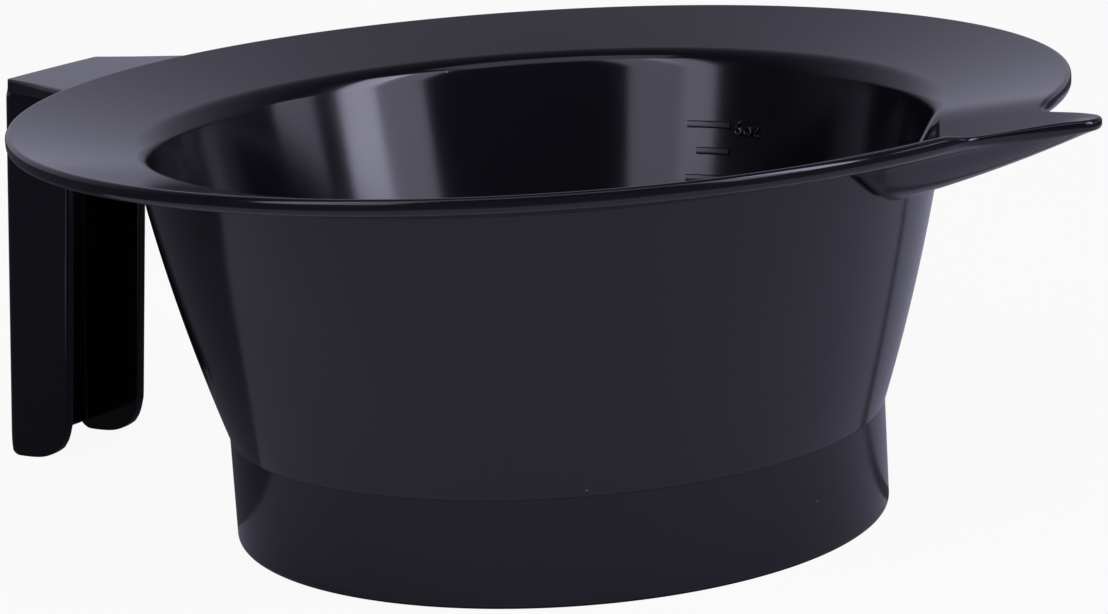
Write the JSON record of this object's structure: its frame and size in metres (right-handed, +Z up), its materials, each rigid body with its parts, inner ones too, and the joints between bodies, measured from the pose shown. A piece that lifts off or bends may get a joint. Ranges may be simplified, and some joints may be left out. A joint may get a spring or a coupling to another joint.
{
  "type": "hair colour bowl",
  "caption": "Small tapered mixing bowl on a hollow foot, with a wide dished rim, a pouring spout, a channel-shaped side grip and a measuring scale inside.",
  "frame": {"origin": "on the bowl's axis, at the level of the table it stands on", "axes": "+Z up along the bowl's axis, +X from the axis to the pouring spout, so the grip is on -X"},
  "size_m": [0.1766, 0.141, 0.0586],
  "materials": {
    "black_plastic": "glossy moulded black polypropylene with a faint blue cast",
    "scale_relief": "the same plastic, raised lines and numerals"
  },
  "bodies": {
    "root": {"foot_ring": "black_plastic", "cup_floor": "black_plastic", "cup_wall": "black_plastic", "rim_flange": "black_plastic", "pour_spout": "black_plastic", "handle_arm": "black_plastic", "grip_web": "black_plastic", "grip_flange_right": "black_plastic", "grip_flange_left": "black_plastic", "scale_mark_1oz": "scale_relief", "scale_mark_2oz": "scale_relief", "scale_label_2oz_2": "scale_relief", "scale_label_2oz_o": "scale_relief", "scale_label_2oz_z": "scale_relief", "scale_mark_3oz": "scale_relief", "scale_mark_4oz": "scale_relief", "scale_label_4oz_4": "scale_relief", "scale_label_4oz_o": "scale_relief", "scale_label_4oz_z": "scale_relief", "scale_mark_5oz": "scale_relief", "scale_mark_6oz": "scale_relief", "scale_label_6oz_6": "scale_relief", "scale_label_6oz_o": "scale_relief", "scale_label_6oz_z": "scale_relief"}
  },
  "joints": []
}
